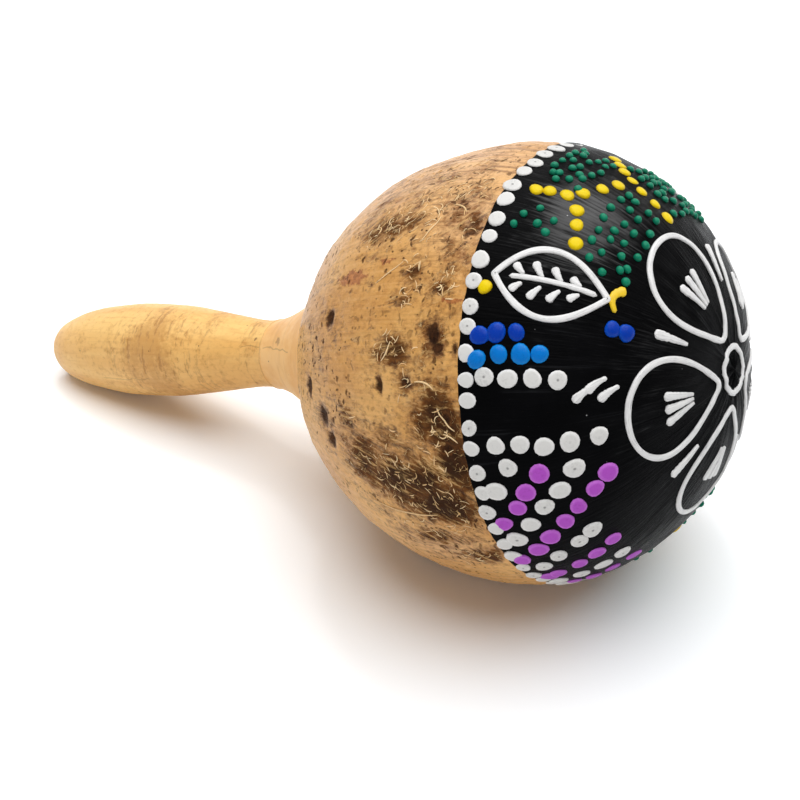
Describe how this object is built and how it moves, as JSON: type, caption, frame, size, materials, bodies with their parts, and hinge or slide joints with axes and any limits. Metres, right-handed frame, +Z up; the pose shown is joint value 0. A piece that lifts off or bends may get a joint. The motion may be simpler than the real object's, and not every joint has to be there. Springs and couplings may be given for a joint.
{
  "type": "coconut maraca",
  "caption": "Hand-held shaker: a hollow coconut shell with a painted end on a turned wooden handle, joined by a moulded collar, with loose seeds that rattle inside.",
  "frame": {"origin": "bottom centre of the whole object's box, with the maraca lying on a table", "axes": "+X along the length towards the painted end, +Z up, +Y across; the long axis is tilted 14.7 degrees in the XZ plane, so that the shell and the handle's bulb both touch the table"},
  "size_m": [0.1902, 0.0898, 0.091],
  "materials": {
    "shell": "scraped coconut shell, varnished, with black gloss paint and raised paint dots over its front",
    "putty": "sanded wood filler, varnished",
    "handle_wood": "turned pale hardwood, thin varnish",
    "seed": "dry seed coat, low sheen"
  },
  "bodies": {
    "maraca_body": {"coconut_shell": "shell", "neck_collar": "putty", "handle": "handle_wood"},
    "loose_seed_01": {"seed_01": "seed"},
    "loose_seed_02": {"seed_02": "seed"},
    "loose_seed_03": {"seed_03": "seed"},
    "loose_seed_04": {"seed_04": "seed"},
    "loose_seed_05": {"seed_05": "seed"},
    "loose_seed_06": {"seed_06": "seed"},
    "loose_seed_07": {"seed_07": "seed"},
    "loose_seed_08": {"seed_08": "seed"},
    "loose_seed_09": {"seed_09": "seed"},
    "loose_seed_10": {"seed_10": "seed"},
    "loose_seed_11": {"seed_11": "seed"},
    "loose_seed_12": {"seed_12": "seed"},
    "loose_seed_13": {"seed_13": "seed"},
    "loose_seed_14": {"seed_14": "seed"},
    "loose_seed_15": {"seed_15": "seed"},
    "loose_seed_16": {"seed_16": "seed"},
    "loose_seed_17": {"seed_17": "seed"},
    "loose_seed_18": {"seed_18": "seed"},
    "loose_seed_19": {"seed_19": "seed"},
    "loose_seed_20": {"seed_20": "seed"},
    "loose_seed_21": {"seed_21": "seed"},
    "loose_seed_22": {"seed_22": "seed"},
    "loose_seed_23": {"seed_23": "seed"},
    "loose_seed_24": {"seed_24": "seed"}
  },
  "joints": [
    {"name": "seed_01_flight", "type": "slide", "parent": "maraca_body", "child": "loose_seed_01", "axis": [0, 0, 1], "range_m": [0, 0.0752]},
    {"name": "seed_02_flight", "type": "slide", "parent": "maraca_body", "child": "loose_seed_02", "axis": [0, 0, 1], "range_m": [0, 0.0745]},
    {"name": "seed_03_flight", "type": "slide", "parent": "maraca_body", "child": "loose_seed_03", "axis": [0, 0, 1], "range_m": [0, 0.0738]},
    {"name": "seed_04_flight", "type": "slide", "parent": "maraca_body", "child": "loose_seed_04", "axis": [0, 0, 1], "range_m": [0, 0.073]},
    {"name": "seed_05_flight", "type": "slide", "parent": "maraca_body", "child": "loose_seed_05", "axis": [0, 0, 1], "range_m": [0, 0.0724]},
    {"name": "seed_06_flight", "type": "slide", "parent": "maraca_body", "child": "loose_seed_06", "axis": [0, 0, 1], "range_m": [0, 0.0715]},
    {"name": "seed_07_flight", "type": "slide", "parent": "maraca_body", "child": "loose_seed_07", "axis": [0, 0, 1], "range_m": [0, 0.0701]},
    {"name": "seed_08_flight", "type": "slide", "parent": "maraca_body", "child": "loose_seed_08", "axis": [0, 0, 1], "range_m": [0, 0.0693]},
    {"name": "seed_09_flight", "type": "slide", "parent": "maraca_body", "child": "loose_seed_09", "axis": [0, 0, 1], "range_m": [0, 0.0691]},
    {"name": "seed_10_flight", "type": "slide", "parent": "maraca_body", "child": "loose_seed_10", "axis": [0, 0, 1], "range_m": [0, 0.0684]},
    {"name": "seed_11_flight", "type": "slide", "parent": "maraca_body", "child": "loose_seed_11", "axis": [0, 0, 1], "range_m": [0, 0.067]},
    {"name": "seed_12_flight", "type": "slide", "parent": "maraca_body", "child": "loose_seed_12", "axis": [0, 0, 1], "range_m": [0, 0.0665]},
    {"name": "seed_13_flight", "type": "slide", "parent": "maraca_body", "child": "loose_seed_13", "axis": [0, 0, 1], "range_m": [0, 0.0659]},
    {"name": "seed_14_flight", "type": "slide", "parent": "maraca_body", "child": "loose_seed_14", "axis": [0, 0, 1], "range_m": [0, 0.0645]},
    {"name": "seed_15_flight", "type": "slide", "parent": "maraca_body", "child": "loose_seed_15", "axis": [0, 0, 1], "range_m": [0, 0.0636]},
    {"name": "seed_16_flight", "type": "slide", "parent": "maraca_body", "child": "loose_seed_16", "axis": [0, 0, 1], "range_m": [0, 0.0625]},
    {"name": "seed_17_flight", "type": "slide", "parent": "maraca_body", "child": "loose_seed_17", "axis": [0, 0, 1], "range_m": [0, 0.062]},
    {"name": "seed_18_flight", "type": "slide", "parent": "maraca_body", "child": "loose_seed_18", "axis": [0, 0, 1], "range_m": [0, 0.0631]},
    {"name": "seed_19_flight", "type": "slide", "parent": "maraca_body", "child": "loose_seed_19", "axis": [0, 0, 1], "range_m": [0, 0.0607]},
    {"name": "seed_20_flight", "type": "slide", "parent": "maraca_body", "child": "loose_seed_20", "axis": [0, 0, 1], "range_m": [0, 0.0582]},
    {"name": "seed_21_flight", "type": "slide", "parent": "maraca_body", "child": "loose_seed_21", "axis": [0, 0, 1], "range_m": [0, 0.0584]},
    {"name": "seed_22_flight", "type": "slide", "parent": "maraca_body", "child": "loose_seed_22", "axis": [0, 0, 1], "range_m": [0, 0.0575]},
    {"name": "seed_23_flight", "type": "slide", "parent": "maraca_body", "child": "loose_seed_23", "axis": [0, 0, 1], "range_m": [0, 0.0574]},
    {"name": "seed_24_flight", "type": "slide", "parent": "maraca_body", "child": "loose_seed_24", "axis": [0, 0, 1], "range_m": [0, 0.055]}
  ]
}
